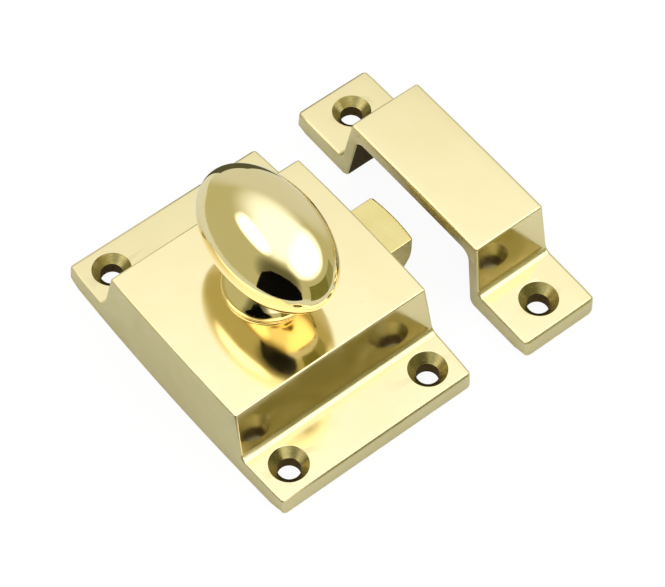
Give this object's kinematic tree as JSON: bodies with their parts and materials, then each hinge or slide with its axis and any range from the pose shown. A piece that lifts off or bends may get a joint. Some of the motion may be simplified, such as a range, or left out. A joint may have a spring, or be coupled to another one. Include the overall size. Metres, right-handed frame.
{
  "type": "cupboard latch",
  "caption": "Cast brass face-fixed cupboard latch with an oval turn knob, a sprung bolt and its bridge-shaped keep.",
  "frame": {"origin": "on the knob's spindle axis, in the plane of the case's back face", "axes": "+X is the way the bolt shoots, towards the keep; +Y runs along the case; +Z comes out of the door"},
  "size_m": [0.073, 0.0678, 0.0415],
  "materials": {
    "polished_brass": "cast and mirror polished",
    "satin_brass": "cast and linished",
    "cast_brass": "as cast, machined faces",
    "sheet_brass": "rolled sheet, dull",
    "steel": "zinc plated",
    "spring_steel": "drawn wire"
  },
  "bodies": {
    "case_and_keep": {"case": "polished_brass", "back_plate": "sheet_brass", "plate_screw_1": "sheet_brass", "plate_screw_2": "sheet_brass", "plate_screw_3": "sheet_brass", "plate_screw_4": "sheet_brass", "bolt_spring": "spring_steel", "keep": "polished_brass"},
    "turn": {"knob": "polished_brass", "cam": "cast_brass", "cam_washer": "steel", "cam_screw": "steel"},
    "latch_bolt": {"bolt": "satin_brass"}
  },
  "joints": [
    {"name": "knob_turn", "type": "hinge", "parent": "case_and_keep", "child": "turn", "pos_m": [0, 0, 0.016], "axis": [0, 0, 1], "range_deg": [0, 52], "stiffness_Nm_per_rad": 0.0384, "springref_deg": -28.65},
    {"name": "bolt_slide", "type": "slide", "parent": "case_and_keep", "child": "latch_bolt", "axis": [1, 0, 0], "range_m": [-0.0073, 0], "deforming": ["bolt_spring"]}
  ],
  "couplings": [
    {"joint": "bolt_slide", "follows": "knob_turn", "m_per_rad": -0.008}
  ]
}
